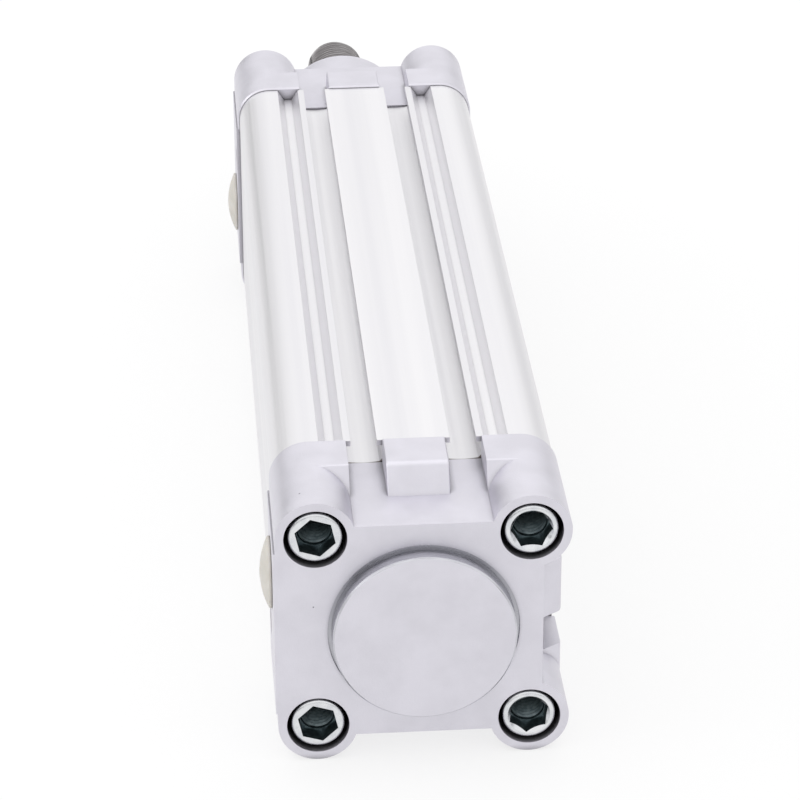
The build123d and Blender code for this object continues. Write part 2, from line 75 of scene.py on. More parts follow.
# %% Camera
CAMERA_PLACE = Vector((-0.64400, 0.05220, 0.38395))
CAMERA_RIGHT = Vector((-0.07462, -0.99721, -0.00312))
CAMERA_DOWN = Vector((-0.45142, 0.03656, -0.89156))
CAMERA_FORWARD = Vector((0.88919, -0.06512, -0.45288))
FOCAL_PIXELS = 3462
PHOTO_PIXELS = 800
SENSOR_MM = 36

lens = bpy.data.cameras.new("camera")
lens.sensor_width = SENSOR_MM
lens.lens = FOCAL_PIXELS / PHOTO_PIXELS * SENSOR_MM
lens.clip_start = 0.01
camera = bpy.data.objects.new("camera", lens)
bpy.context.scene.collection.objects.link(camera)
axes = Matrix((CAMERA_RIGHT, -CAMERA_DOWN, -CAMERA_FORWARD)).transposed()
camera.matrix_world = Matrix.Translation(CAMERA_PLACE) @ axes.to_4x4()
bpy.context.scene.camera = camera
print("lens:", round(lens.lens, 1), "mm")

# %% [markdown]
# ## Sizes
# Everything is modelled in millimetres, as on the maker's drawing, and each finished mesh is scaled to
# metres. These are the sizes of the CAD model that the new pieces have to meet.

# %% Sizes in millimetres
MM = 0.001
BODY = 266.0
CAP = 29.0
PITCH = 46.5
BARREL_HALF = 31.4
BARREL_CORNER = 8.15
CAP_HALF = 32.0
BOSS = 8.75
BORE = 25.0
DECK = 26.0
PORT_FACE = 32.4
PILOT = 20.0

# %% [markdown]
# ## Tools for modelling
# Three small shapes make most of a machined part: a block, a round bar and a turned profile. The bar and the
# profile lie along the X axis, like the cylinder itself. Boolean modifiers then join them and cut them.


# %% Blocks, bars and turned profiles
def block(low, high):
    """A box between two corners."""
    shape = bmesh.new()
    bmesh.ops.create_cube(shape, size=1)
    low, high = Vector(low), Vector(high)
    bmesh.ops.scale(shape, vec=high - low, verts=shape.verts)
    bmesh.ops.translate(shape, vec=(low + high) / 2, verts=shape.verts)
    return shape


def bar(start, end, radius, y=0.0, z=0.0, sides=96):
    """A round bar along X."""
    shape = bmesh.new()
    bmesh.ops.create_cone(
        shape, cap_ends=True, segments=sides, radius1=radius, radius2=radius, depth=end - start
    )
    bmesh.ops.rotate(shape, matrix=Matrix.Rotation(math.pi / 2, 3, "Y"), verts=shape.verts)
    bmesh.ops.translate(shape, vec=((start + end) / 2, y, z), verts=shape.verts)
    return shape


def turned(profile, steps=96):
    """An outline of (x, radius) points, spun round the X axis. It stays open between ends on the axis."""
    shape = bmesh.new()
    points = [shape.verts.new((x, 0, radius)) for x, radius in profile]
    on_axis = profile[0][1] == 0 and profile[-1][1] == 0
    following = points[1:] if on_axis else points[1:] + points[:1]
    edges = [shape.edges.new(pair) for pair in zip(points, following)]
    bmesh.ops.spin(
        shape, geom=points + edges, cent=(0, 0, 0), axis=(1, 0, 0), angle=math.tau,
        steps=steps, use_merge=True,
    )
    bmesh.ops.remove_doubles(shape, verts=shape.verts, dist=1e-5)
    bmesh.ops.recalc_face_normals(shape, faces=shape.faces)
    return shape


def prism(outline, start, end):
    """An outline of (y, z) points, drawn out along X."""
    shape = bmesh.new()
    face = shape.faces.new([shape.verts.new((start, y, z)) for y, z in outline])
    made = bmesh.ops.extrude_face_region(shape, geom=[face])
    moved = [v for v in made["geom"] if isinstance(v, bmesh.types.BMVert)]
    bmesh.ops.translate(shape, vec=(end - start, 0, 0), verts=moved)
    bmesh.ops.recalc_face_normals(shape, faces=shape.faces)
    return shape


def turn(shape, angle, axis, centre=(0, 0, 0)):
    """Turns a shape by an angle in degrees."""
    bmesh.ops.rotate(
        shape, cent=centre, matrix=Matrix.Rotation(math.radians(angle), 3, axis), verts=shape.verts
    )
    return shape


def end_for_end(shape):
    """Turns a rear piece round, so that it faces forwards at the other end."""
    turn(shape, 180, "Y")
    bmesh.ops.translate(shape, vec=(BODY, 0, 0), verts=shape.verts)
    return shape


# %% [markdown]
# A bmesh becomes an object with one call. The boolean is a modifier, so each cut is applied by taking the
# object's evaluated mesh, and the cutter is thrown away.


# %% From bmesh to object, and booleans
def as_object(shape, name):
    """Makes an object of a bmesh."""
    mesh = bpy.data.meshes.new(name)
    shape.to_mesh(mesh)
    shape.free()
    piece = bpy.data.objects.new(name, mesh)
    bpy.context.scene.collection.objects.link(piece)
    return piece


def applied(piece):
    """Replaces an object's mesh by what its modifiers make of it."""
    depsgraph = bpy.context.evaluated_depsgraph_get()
    made = bpy.data.meshes.new_from_object(piece.evaluated_get(depsgraph))
    old = piece.data
    piece.modifiers.clear()
    piece.data = made
    bpy.data.meshes.remove(old)
    return piece


def combine(piece, shapes, operation):
    """Joins shapes to a piece, or cuts them out of it, one after another."""
    for shape in shapes:
        other = as_object(shape, "tool")
        boolean = piece.modifiers.new("boolean", "BOOLEAN")
        boolean.operation = operation
        boolean.solver = "EXACT"
        boolean.object = other
        applied(piece)
        bpy.data.objects.remove(other)
    return piece


def joined(piece, shapes):
    return combine(piece, shapes, "UNION")


def cut(piece, shapes):
    return combine(piece, shapes, "DIFFERENCE")


def kept_inside(piece, shape):
    return combine(piece, [shape], "INTERSECT")


def tidy_planes(shape):
    """Merges loose points and flat neighbours that the booleans leave."""
    bmesh.ops.remove_doubles(shape, verts=shape.verts, dist=2e-4)
    bmesh.ops.dissolve_limit(
        shape, angle_limit=math.radians(0.5), verts=shape.verts, edges=shape.edges
    )
    bmesh.ops.dissolve_degenerate(shape, edges=shape.edges, dist=1e-3)


# %% [markdown]
# Real edges are never knife sharp, and it is the narrow light along them that makes a render look solid. A
# Bevel modifier rounds every edge above an angle, and hardened normals keep the flat faces flat.


# %% Rounded edges and metres
def finished(piece, edge=0.0, angle=30, segments=2):
    """Rounds a piece's edges by a width in millimetres, shades it smooth and scales it to metres."""
    shape = bmesh.new()
    shape.from_mesh(piece.data)
    tidy_planes(shape)
    shape.to_mesh(piece.data)
    shape.free()
    if edge:
        bevel = piece.modifiers.new("rounded edges", "BEVEL")
        bevel.width = edge
        bevel.segments = segments
        bevel.limit_method = "ANGLE"
        bevel.angle_limit = math.radians(angle)
        bevel.harden_normals = True
        bevel.use_clamp_overlap = True
        piece.modifiers.new("flat faces stay flat", "WEIGHTED_NORMAL").keep_sharp = True
    piece.data.shade_smooth()
    if not edge:
        piece.data.set_sharp_from_angle(angle=math.radians(angle))
    applied(piece)
    piece.data.transform(Matrix.Scale(MM, 4))
    print(piece.name, "faces:", len(piece.data.polygons))
    return piece


# %% [markdown]
# ## The barrel
# The real barrel is extruded aluminium: one profile, drawn out straight. So it starts as a square bar with
# four bevelled edges, and the bore, sensor slots and plain grooves are cut along its whole length. It stops a
# hair short of each cap, because the photograph shows a fine dark line at both joints.

# %% Barrel
REAR_GAP = 0.25
FRONT_GAP = 0.08
SLOT_OFFSET = 10.95
SLOT_MOUTH = 5.8
SLOT_WIDTH = 8.7
SLOT_LIP = 1.3
SLOT_FLOOR = 25.7
SLOT_FLOOR_WIDTH = 7.0
SLOT_SAG = 0.25
SLOT_SHOULDER = 0.9
GROOVE_OFFSET = 18.2
GROOVE_HALF = 1.0
GROOVE_HALF_AT_TOP = 3.398
GROOVE_DEPTH = 2.7
CORNER_HOLE = 4.02


def rounded_bar(start, end, half, corner, segments=20):
    """A square bar along X with rounded long edges."""
    shape = block((start, -half, -half), (end, half, half))
    long_edges = [e for e in shape.edges if abs((e.verts[0].co - e.verts[1].co).x) > 1]
    bmesh.ops.bevel(
        shape, geom=long_edges, offset=corner, affect="EDGES", segments=segments,
        profile=0.5, material=-1,
    )
    return shape


def slot_outline(side):
    """The section of a T-shaped slot in the top of the barrel, with its slightly hollow floor."""
    mid = side * SLOT_OFFSET
    under = BARREL_HALF - SLOT_LIP
    mouth, inside, floor = SLOT_MOUTH / 2, SLOT_WIDTH / 2, SLOT_FLOOR_WIDTH / 2
    right = [(mid + mouth, BARREL_HALF + 1), (mid + mouth, under), (mid + inside, under),
             (mid + inside, SLOT_FLOOR + SLOT_SHOULDER)]
    left = [(2 * mid - y, z) for y, z in reversed(right)]
    hollow = []
    for i in range(9):
        across = 1 - i / 4
        hollow.append((mid + across * floor, SLOT_FLOOR - SLOT_SAG * (1 - across ** 2)))
    return right + hollow + left


def groove_outline(side):
    """The section of a plain groove with slanted walls."""
    mid = side * GROOVE_OFFSET
    floor, top = BARREL_HALF - GROOVE_DEPTH, BARREL_HALF + 1
    return [(mid - GROOVE_HALF, floor), (mid + GROOVE_HALF, floor),
            (mid + GROOVE_HALF_AT_TOP, top), (mid - GROOVE_HALF_AT_TOP, top)]


profile = rounded_bar(CAP + REAR_GAP, BODY - CAP - FRONT_GAP, BARREL_HALF, BARREL_CORNER)
barrel = as_object(profile, "barrel_profile")
cut(barrel, [bar(CAP - 1, BODY - CAP + 1, BORE, sides=128)])
for quarter in (0, 90, 180):
    for side in (-1, 1):
        for outline in (slot_outline(side), groove_outline(side)):
            cut(barrel, [turn(prism(outline, CAP - 1, BODY - CAP + 1), quarter, "X")])
half_pitch = PITCH / 2
corners = [(y, z) for y in (-half_pitch, half_pitch) for z in (-half_pitch, half_pitch)]
cut(barrel, [bar(CAP - 1, BODY - CAP + 1, CORNER_HOLE, y, z, 24) for y, z in corners])
finished(barrel, edge=0.15, angle=25)

# %% [markdown]
# ## The end caps
# Both caps are the same die casting, turned round. A casting reads as a sum of simple lumps: a square core,
# four round bosses, a lug in the middle of each plain side, fins beside the bosses, and the flat port side.
# Each lump is made a little too long, and one cut at each end makes all of them flush.

# %% Casting
CORE_FRONT = -3.0
LUG_HALF = 6.9
FIN_START = 15.0
SLOPE_FOOT = 13.1
SLOPE_TOP = 17.2


def sloped_block(y_low, y_high, front_round=0.4, side_round=0.0):
    """A block on the top side whose front face is slanted, as the casting die leaves it."""
    shape = block((SLOPE_TOP, y_low, 18), (CAP + 3, y_high, CAP_HALF))
    slope = (SLOPE_TOP - SLOPE_FOOT) / (CAP_HALF - DECK)
    for v in shape.verts:
        if v.co.x < SLOPE_TOP + 1 and v.co.z < 20:
            v.co.x = SLOPE_TOP - slope * (CAP_HALF - v.co.z)
    front = [e for e in shape.edges if all(v.co.z > 20 and v.co.x < CAP for v in e.verts)]
    bmesh.ops.bevel(
        shape, geom=front, offset=front_round, affect="EDGES", segments=4, profile=0.5, material=-1
    )
    if side_round:
        long_edges = [
            e for e in shape.edges
            if abs((e.verts[0].co - e.verts[1].co).y) < 0.1 and any(v.co.z > 20 for v in e.verts)
            and any(v.co.x < CAP for v in e.verts)
        ]
        bmesh.ops.bevel(
            shape, geom=long_edges, offset=side_round, affect="EDGES", segments=4, profile=0.5, material=-1
        )
    return shape


def flush(piece, start, end):
    """Cuts a piece off flat at both ends and closes the cuts."""
    shape = bmesh.new()
    shape.from_mesh(piece.data)
    for x, outward in ((start, (-1, 0, 0)), (end, (1, 0, 0))):
        everything = shape.verts[:] + shape.edges[:] + shape.faces[:]
        bmesh.ops.bisect_plane(
            shape, geom=everything, dist=1e-4, plane_co=(x, 0, 0), plane_no=outward,
            clear_outer=True,
        )
        rim = [e for e in shape.edges if e.is_boundary]
        bmesh.ops.contextual_create(shape, geom=rim)
    bmesh.ops.recalc_face_normals(shape, faces=shape.faces)
    shape.to_mesh(piece.data)
    shape.free()
    return piece


def joint_chamfer(size=0.4, spare=0.02):
    """A bar just round the cap that narrows at 45 degrees where the cap meets the barrel."""
    shape = rounded_bar(CORE_FRONT - 5, CAP + 1, CAP_HALF + spare, BOSS + spare)
    everything = shape.verts[:] + shape.edges[:] + shape.faces[:]
    bmesh.ops.bisect_plane(shape, geom=everything, plane_co=(CAP - size - spare, 0, 0), plane_no=(1, 0, 0))
    for v in shape.verts:
        if v.co.x > CAP:
            centre = Vector((v.co.x, math.copysign(half_pitch, v.co.y), math.copysign(half_pitch, v.co.z)))
            v.co -= (v.co - centre).normalized() * (1 + size + spare)
    return shape


def casting(name):
    """The casting of the rear cap, without its pilot."""
    piece = as_object(block((CORE_FRONT, -DECK, -DECK), (CAP + 2, DECK, DECK)), name)
    joined(piece, [bar(CORE_FRONT - 1, CAP + 1, BOSS, y, z) for y, z in corners])
    for quarter in (0, 90, 180):
        joined(piece, [turn(sloped_block(-LUG_HALF, LUG_HALF, 1.0, 0.45), quarter, "X")])
        for low, high in ((FIN_START, half_pitch), (-half_pitch, -FIN_START)):
            joined(piece, [turn(sloped_block(low, high), quarter, "X")])
    joined(piece, [block((CORE_FRONT - 2, 20, -half_pitch), (CAP + 4, CAP_HALF, half_pitch))])
    kept_inside(piece, joint_chamfer())
    joined(piece, [block((CORE_FRONT - 3, 22, -20), (CAP + 5, PORT_FACE, 20))])
    flush(piece, 0, CAP)
    return piece


SCREW_BORE = 6.855
SCREW_SEAT = 21.7
SHANK_HOLE = 4.25
REGISTER = 24.98
REGISTER_END = 40.0
RING_GROOVE = 22.8
CHAMBER = 13.5
CHAMBER_FLOOR = 12.0
CUSHION_GROOVE = 16.22
PORT_AT = (15.0, 7.3)
ADJUSTER_AT = (22.5, -9.0)
PORT_THREAD_ROOT = 6.58
PORT_THREAD_CREST = 5.75
PORT_DEPTH = 12.5


def on_port_face(shape, place):
    """Stands a shape that was drawn along X on its end, out of the port side, at an x and z."""
    turn(shape, 90, "Z")
    bmesh.ops.translate(shape, vec=(place[0], 0, place[1]), verts=shape.verts)
    return shape


def drill_cap(piece):
    """The screws' counterbores, the port and the cushion screw's hole."""
    cut(piece, [bar(-1, SCREW_SEAT, SCREW_BORE, y, z) for y, z in corners])
    cut(piece, [bar(SCREW_SEAT - 1, CAP + 1, SHANK_HOLE, y, z, 32) for y, z in corners])
    port_floor = PORT_FACE - PORT_DEPTH
    port = turned([
        (9, 0), (9, 4.5), (port_floor, 4.5), (port_floor, PORT_THREAD_ROOT),
        (PORT_FACE - 0.6, PORT_THREAD_ROOT), (PORT_FACE + 0.4, PORT_THREAD_ROOT + 1),
        (PORT_FACE + 0.4, 0),
    ], 64)
    adjuster = turned([
        (10, 0), (10, 2.54), (22.4, 2.54), (22.4, 3.44), (PORT_FACE + 1, 3.44), (PORT_FACE + 1, 0),
    ], 48)
    cut(piece, [on_port_face(port, PORT_AT), on_port_face(adjuster, ADJUSTER_AT)])
    return piece


def register():
    """The part of the cap that enters the barrel, with its O-ring groove."""
    return turned([
        (CAP - 1, 10), (CAP - 1, REGISTER), (33.2, REGISTER), (33.2, RING_GROOVE), (36.6, RING_GROOVE),
        (36.6, REGISTER), (REGISTER_END, REGISTER), (REGISTER_END, 10),
    ])


def chamber():
    """The blind chamber for the cushion sleeve, with the groove of its seal."""
    return turned([
        (CHAMBER_FLOOR, 0), (CHAMBER_FLOOR, CHAMBER), (34, CHAMBER), (34, CUSHION_GROOVE),
        (38.2, CUSHION_GROOVE), (38.2, CHAMBER), (REGISTER_END + 1, CHAMBER), (REGISTER_END + 1, 0),
    ])


rear_cap = casting("rear_cap_casting")
joined(rear_cap, [register()])
cut(rear_cap, [chamber()])
drill_cap(rear_cap)
cut(rear_cap, [turned([(-1, 19), (0.6, 19), (0.6, 20.9), (-1, 20.9)])])
joined(rear_cap, [turned([(2, 0), (2, PILOT), (-3.6, PILOT), (-4, PILOT - 0.4), (-4, 0)])])
finished(rear_cap, edge=0.15, angle=28)

# %% [markdown]
# The front cap is the same casting turned end for end. Its pilot is longer and carries the nose, where the
# rod comes out through its wiper. Bush, seal and wiper sit in a stepped hole through the nose.

# %% Front cap
PILOT_END = BODY + 11.5
NOSE = 17.75
NOSE_END = BODY + 31.0
BUSH_SEAT = 12.06
ROD_HOLE = 10.3
SEAL_SEAT = 14.26
WIPER_SEAT = 15.06
WIPER_DEPTH = 6.0

front_cap = casting("front_cap_casting")
joined(front_cap, [register()])
cut(front_cap, [chamber()])
drill_cap(front_cap)
shape = bmesh.new()
shape.from_mesh(front_cap.data)
end_for_end(shape)
shape.to_mesh(front_cap.data)
shape.free()
joined(front_cap, [turned([
    (BODY - 2, 0), (BODY - 2, PILOT), (PILOT_END - 0.4, PILOT), (PILOT_END, PILOT - 0.4),
    (PILOT_END, NOSE), (NOSE_END - 0.4, NOSE), (NOSE_END, NOSE - 0.4), (NOSE_END, 0),
])])
cut(front_cap, [turned([
    (BODY - 13, 0), (BODY - 13, BUSH_SEAT), (BODY + 16, BUSH_SEAT), (BODY + 16, ROD_HOLE),
    (BODY + 17.2, ROD_HOLE), (BODY + 17.2, SEAL_SEAT), (NOSE_END - WIPER_DEPTH, SEAL_SEAT),
    (NOSE_END - WIPER_DEPTH, WIPER_SEAT), (NOSE_END + 1, WIPER_SEAT), (NOSE_END + 1, 0),
])])
finished(front_cap, edge=0.15, angle=28)

# %% [markdown]
# ## Threads
# A screw thread is a small V that turns round while it moves along: a helix. The ridge is spun once past each
# end and cut off flat there. Where the bar has a chamfer, the ridge is turned down with it.


# %% Threads
def thread(start, end, core, crest, pitch, steps=48):
    """A V-shaped helical ridge along X, from its core radius to its crest radius."""
    shape = bmesh.new()
    flat = pitch / 8
    section = [(0.0, core), (pitch / 2 - flat / 2, crest), (pitch / 2 + flat / 2, crest), (pitch, core)]
    points = [shape.verts.new((start - pitch + x, 0, radius)) for x, radius in section]
    edges = [shape.edges.new(pair) for pair in zip(points, points[1:])]
    turns = (end - start) / pitch + 1
    total = int(turns * steps)
    bmesh.ops.spin(
        shape, geom=points + edges, cent=(0, 0, 0), axis=(1, 0, 0), angle=turns * math.tau,
        steps=total, dvec=((end - start + pitch) / total, 0, 0),
    )
    bmesh.ops.remove_doubles(shape, verts=shape.verts, dist=pitch / 400)
    for x, outward in ((start, (-1, 0, 0)), (end, (1, 0, 0))):
        everything = shape.verts[:] + shape.edges[:] + shape.faces[:]
        bmesh.ops.bisect_plane(
            shape, geom=everything, dist=1e-5, plane_co=(x, 0, 0), plane_no=outward,
            clear_outer=True,
        )
    bmesh.ops.recalc_face_normals(shape, faces=shape.faces)
    return shape


def turn_down(shape, limit):
    """Pulls every point of a ridge in to the radius that the limit gives at its x."""
    for v in shape.verts:
        radius = math.hypot(v.co.y, v.co.z)
        allowed = limit(v.co.x)
        if radius > allowed:
            v.co.y *= allowed / radius
            v.co.z *= allowed / radius
    return shape


def merged(name, shapes):
    """Puts several shapes in one object, as they are."""
    whole = bmesh.new()
    for shape in shapes:
        mesh = bpy.data.meshes.new("part")
        shape.to_mesh(mesh)
        shape.free()
        whole.from_mesh(mesh)
        bpy.data.meshes.remove(mesh)
    return as_object(whole, name)


print("thread helpers ready")

# %% [markdown]
# ## Cap screws
# Eight socket screws hold the caps on. Each head is a long round bar in a wider counterbore, with a rounded
# rim and a hexagon. Below the hexagon is an M8 thread, which takes the screws of whatever the cylinder is
# mounted on. A countersink rounds the hexagon's mouth on the side away from the ports, where the photograph
# shows it. Nobody lines screws up, so each hexagon has its own angle.

# %% Cap screws
HEAD_TOP = 0.7
HEAD_RADIUS = 5.875
SOCKET_FLATS = 8.0
SOCKET_FLOOR = HEAD_TOP + 4.2
SHANK = 4.0
SHANK_END = 45.0
M8_HOLE = 3.95
M8_END = 17.7
M8_CORE = 3.4
M8_PITCH = 1.25


def hexagon_bar(start, end, flats, angle):
    """A hexagonal bar along X. Its angle is that of one corner, from straight up towards the port side."""
    return turn(bar(start, end, flats / math.sqrt(3), sides=6), 30 - angle, "X")


def cap_screw(y, z, hex_angle, mouth, front):
    """One cap screw in its place. A mouth radius countersinks its hexagon."""
    head = turned([
        (HEAD_TOP, 0), (HEAD_TOP, HEAD_RADIUS - 0.7), (HEAD_TOP + 0.08, HEAD_RADIUS - 0.42),
        (HEAD_TOP + 0.28, HEAD_RADIUS - 0.16), (HEAD_TOP + 0.6, HEAD_RADIUS), (SCREW_SEAT, HEAD_RADIUS),
        (SCREW_SEAT, SHANK), (SHANK_END - 1, SHANK), (SHANK_END, SHANK - 1), (SHANK_END, 0),
    ], 72)
    hexagon = hexagon_bar(HEAD_TOP - 1, SOCKET_FLOOR, SOCKET_FLATS, hex_angle)
    piece = cut(as_object(head, "cap_screw"), [hexagon])
    if mouth:
        end = HEAD_TOP + mouth - 3.9
        cut(piece, [turned([(HEAD_TOP - 1, 0), (HEAD_TOP - 1, mouth + 1), (end, 3.9), (end, 0)], 72)])
    hole_start = SOCKET_FLOOR - 0.5
    cut(piece, [turned([(hole_start, 0), (hole_start, M8_HOLE), (M8_END, M8_HOLE), (20.0, 0)], 72)])
    shape = bmesh.new()
    shape.from_mesh(piece.data)
    bpy.data.objects.remove(piece)
    bmesh.ops.translate(shape, vec=(0, y, z), verts=shape.verts)
    return end_for_end(shape) if front else shape


def screw_thread(y, z, front):
    """The M8 thread inside one cap screw."""
    shape = thread(SOCKET_FLOOR, M8_END, M8_HOLE + 0.03, M8_CORE, M8_PITCH)
    bmesh.ops.translate(shape, vec=(0, y, z), verts=shape.verts)
    return end_for_end(shape) if front else shape


def from_screw_axis(point):
    """How far a point in millimetres lies from the nearest screw's axis."""
    return math.hypot(abs(point.y) - half_pitch, abs(point.z) - half_pitch)


rear_angles = {(1, 1): 12.5, (-1, 1): 30.0, (1, -1): 13.0, (-1, -1): -6.6}
front_angles = {(1, 1): 21.0, (-1, 1): 4.0, (1, -1): -17.0, (-1, -1): 11.0}
mouths = {1: None, -1: 4.7}
screws, screw_threads = {}, {}
for end, angles in (("rear", rear_angles), ("front", front_angles)):
    front = end == "front"
    places = [
        (side * half_pitch, rise * half_pitch, angle, mouths[side]) for (side, rise), angle in angles.items()
    ]
    screws[end] = merged(f"{end}_socket_screws", [cap_screw(*place, front) for place in places])
    finished(screws[end], angle=24)
    screw_threads[end] = merged(f"{end}_screw_threads", [screw_thread(y, z, front) for y, z, _, _ in places])
    finished(screw_threads[end])

# %% [markdown]
# ## The piston rod
# The rod is ground and hard chromed where it runs through the seals. Outside, it has two flats for a spanner,
# a turned relief, and the M16 x 1.5 thread with its chamfer and centre hole. Inside, it is stepped for the
# piston and the cushion sleeves.

# %% Piston rod
ROD = 10.0
SHOULDER = 303.0
ROD_END = 335.0
THREAD_RADIUS = 8.0
THREAD_ROOT = 7.1
FLATS = 8.5

rod = as_object(turned([
    (16.5, 0), (16.5, 5), (17.5, 6), (24.8, 6), (24.8, 7), (51.8, 7), (51.8, 5.8), (54.2, 5.8), (54.2, 7),
    (85.7, 7), (85.7, 9.4), (86.3, ROD), (SHOULDER - 0.6, ROD), (SHOULDER, ROD - 0.6), (SHOULDER, 7),
    (SHOULDER + 2, 7), (SHOULDER + 2.1, THREAD_ROOT), (ROD_END - 0.3, THREAD_ROOT), (ROD_END, 6.8),
    (ROD_END, 2.0), (ROD_END - 2.6, 0),
], 128), "rod_shaft")
cut(rod, [
    block((298.2, -11, FLATS), (SHOULDER + 1, 11, FLATS + 3)),
    block((298.2, -11, -FLATS - 3), (SHOULDER + 1, 11, -FLATS)),
])
finished(rod, edge=0.12, angle=30)

rod_thread = as_object(turn_down(
    thread(SHOULDER + 2, ROD_END, THREAD_ROOT - 0.04, THREAD_RADIUS, 1.5, 64),
    lambda x: min(THREAD_RADIUS, x - SHOULDER + 5, THREAD_RADIUS + 333.8 - x),
), "rod_end_thread")
finished(rod_thread)

# %% [markdown]
# ## Port plugs and port threads
# The ports are closed with soft plastic plugs for transport: a domed flange with the mark of the moulding
# gate in its middle, on a hollow stub with three thin ribs that grip the G1/4 thread.

# %% Port plugs and port threads
PLUG_SEAT = PORT_FACE + 0.02
PLUG_FLANGE = 8.0
DOME_RISE = 1.9
PORT_PITCH = 1.337
dome_radius = (PLUG_FLANGE ** 2 + DOME_RISE ** 2) / (2 * DOME_RISE)


def dome(radius):
    """Height of the plug's dome at a distance from its middle."""
    return PLUG_SEAT + 0.6 + math.sqrt(dome_radius ** 2 - radius ** 2) - (dome_radius - DOME_RISE)


def port_plug(front):
    """A transport plug in its port."""
    shape = turned(
        [(31.2, 0), (31.2, 4.5), (23.4, 4.5), (23.4, 4.9), (24.2, 5.45)]
        + [point for x in (25.4, 27.6, 29.8) for point in ((x, 5.45), (x + 0.35, 5.7), (x + 0.7, 5.45))]
        + [(PLUG_SEAT, 5.45), (PLUG_SEAT, 7.8), (PLUG_SEAT + 0.15, 7.97), (PLUG_SEAT + 0.4, PLUG_FLANGE)]
        + [(dome(7.86 - 0.666 * i) - 0.02, 7.86 - 0.666 * i) for i in range(11)]
        + [(dome(1.0), 1.1), (dome(1.0) - 0.18, 0.95), (dome(1.0) - 0.18, 0)], 72)
    on_port_face(shape, PORT_AT)
    return end_for_end(shape) if front else shape


def port_thread(front):
    """The thread of an air port, which shows once the plug is out."""
    shape = thread(
        PORT_FACE - PORT_DEPTH, PORT_FACE - 0.6, PORT_THREAD_ROOT + 0.02, PORT_THREAD_CREST, PORT_PITCH
    )
    on_port_face(shape, PORT_AT)
    return end_for_end(shape) if front else shape


plugs, port_threads = {}, {}
for end in ("rear", "front"):
    plugs[end] = finished(as_object(port_plug(end == "front"), f"{end}_transport_plug"), angle=35)
    port_threads[end] = finished(as_object(port_thread(end == "front"), f"{end}_port_thread"))

# %% [markdown]
# ## Materials
# Colours are written as sRGB hex values, as a picture shows them, and turned linear by one function. Every
# pattern reads the object's own coordinates, which are metres here, so a scale of 1000 is a size of 1 mm.


# %% Colours and nodes
def colour(code):
    """A colour written as #RRGGBB, in linear light."""
    parts = [int(code[i:i + 2], 16) / 255 for i in (1, 3, 5)]
    return [p / 12.92 if p <= 0.04045 else ((p + 0.055) / 1.055) ** 2.4 for p in parts] + [1.0]


def add(tree, kind, settings=None, links=None):
    """Adds a node. A setting is one of its properties, or the value of an input; a link feeds an input."""
    new = tree.nodes.new("ShaderNode" + kind)
    for key, value in (settings or {}).items():
        if isinstance(key, str) and hasattr(new, key):
            setattr(new, key, value)
        else:
            new.inputs[key].default_value = value
    for key, source in (links or {}).items():
        tree.links.new(source, new.inputs[key])
    return new


def surface(name, base, metallic, roughness):
    """A material with a Principled shader and the object's coordinates."""
    material = bpy.data.materials.new(name)
    material.use_nodes = True
    tree = material.node_tree
    shader = tree.nodes["Principled BSDF"]
    shader.inputs["Base Color"].default_value = colour(base)
    shader.inputs["Metallic"].default_value = metallic
    shader.inputs["Roughness"].default_value = roughness
    place = add(tree, "TexCoord").outputs["Object"]
    return material, tree, shader, place


def noise(tree, place, scale, stretch=(1, 1, 1), detail=3.0):
    """A noise pattern, from 0 to 1, that may be stretched along an axis."""
    mapped = add(tree, "Mapping", {"Scale": stretch}, {"Vector": place})
    made = add(tree, "TexNoise", {"Scale": scale, "Detail": detail}, {"Vector": mapped.outputs["Vector"]})
    return made.outputs["Fac"]


def between(tree, factor, low, high, start=0.35, end=0.65):
    """Maps a pattern from one number or colour to another."""
    if isinstance(low, str):
        ramp = add(tree, "MapRange", {1: start, 2: end}, {0: factor})
        mix = add(tree, "Mix", {"data_type": "RGBA"}, {0: ramp.outputs[0]})
        mix.inputs[6].default_value = colour(low)
        mix.inputs[7].default_value = colour(high)
        return mix.outputs[2]
    return add(tree, "MapRange", {1: start, 2: end, 3: low, 4: high}, {0: factor}).outputs[0]


def bump(tree, shader, height, distance, strength=1.0):
    """Turns a pattern into relief, with its height in metres."""
    made = add(tree, "Bump", {"Strength": strength, "Distance": distance}, {"Height": height})
    tree.links.new(made.outputs["Normal"], shader.inputs["Normal"])


def with_painted_crevice_shade(tree, shader, base, depth, dark="#4A484B", start=0.2, end=0.85):
    """Paints shade into a colour where the surface lies close beside another, from an ambient occlusion mask.
    """
    closeness = add(tree, "AmbientOcclusion", {"samples": 8, "Distance": depth}).outputs["AO"]
    openness = between(tree, closeness, 0.0, 1.0, start, end)
    mix = add(tree, "Mix", {"data_type": "RGBA"}, {0: openness, 7: base})
    mix.inputs[6].default_value = colour(dark)
    tree.links.new(mix.outputs[2], shader.inputs["Base Color"])


# %% [markdown]
# The barrel is natural anodised aluminium. The extrusion die draws fine straight lines along it, and etching
# before anodising leaves a silky grain, so its shine is soft and streaks only along its length. A brownish
# line of painted shade lies across its rear end, low in the slots where they run into the cap, and painted
# shade darkens it wherever it lies close beside another surface.

# %% Anodised aluminium
# Painted shade: a brownish line low in the slots, where the barrel runs into the rear cap.
SHADE_LINE_END = CAP + 1.0
SHADE_LINE_TOP = 27.3

